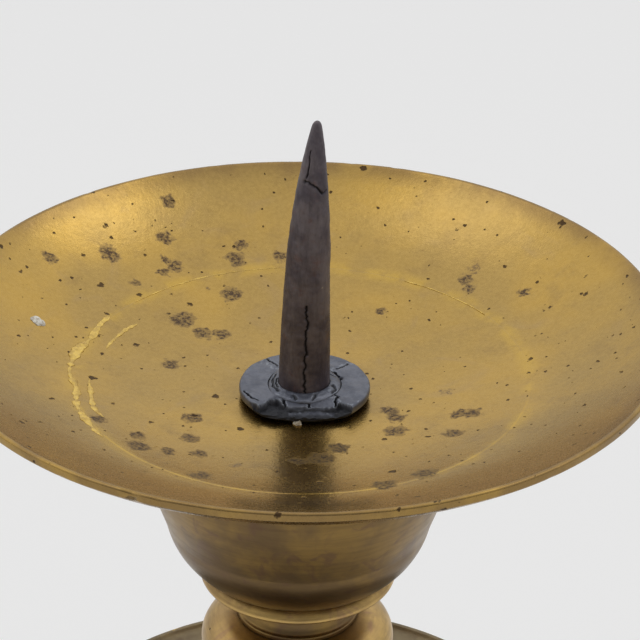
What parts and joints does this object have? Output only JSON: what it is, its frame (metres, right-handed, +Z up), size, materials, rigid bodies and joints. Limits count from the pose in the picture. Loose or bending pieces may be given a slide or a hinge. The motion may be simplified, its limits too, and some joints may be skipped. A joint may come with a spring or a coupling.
{
  "type": "altar candlestick",
  "caption": "Pricket candlestick of turned brass: iron spike over a wide dished drip pan, cup and knop, stem drip disc, baluster stem and domed base on bun feet.",
  "frame": {"origin": "centre of the base, on the surface that the feet stand on", "axes": "+Z up the stem towards the pricket's tip; +X towards the side that the pricket is bent to; +Y towards foot_1"},
  "size_m": [0.19, 0.19, 0.448],
  "materials": {
    "forged_iron": "dark, hand-forged, cracked",
    "lead": "dull blue-grey, cracked",
    "pan_brass": "aged, pitted and spotted",
    "stem_brass": "aged, worn bright on the edges",
    "dull_brass": "dull, tarnished",
    "dark_iron": "dark, lightly rusted"
  },
  "bodies": {
    "root": {"pricket_spike": "forged_iron", "flange_washer": "lead", "collar_packing": "lead", "drip_pan": "pan_brass", "bell_cup": "stem_brass", "cup_collar": "stem_brass", "neck_spool": "stem_brass", "upper_knop": "stem_brass", "trumpet_spool": "stem_brass", "drip_disc": "dull_brass", "disc_ring": "stem_brass", "baluster": "stem_brass", "baluster_ring": "stem_brass", "lower_knop": "stem_brass", "base_neck": "stem_brass", "base_dome": "dull_brass", "base_ring": "dull_brass", "foot_1": "stem_brass", "foot_2": "stem_brass", "foot_3": "stem_brass", "foot_nut_1": "dark_iron", "foot_nut_2": "dark_iron", "foot_nut_3": "dark_iron", "tie_rod": "dark_iron", "bridge_bar": "dark_iron", "rod_washer": "dark_iron", "rod_nut": "dark_iron"}
  },
  "joints": []
}
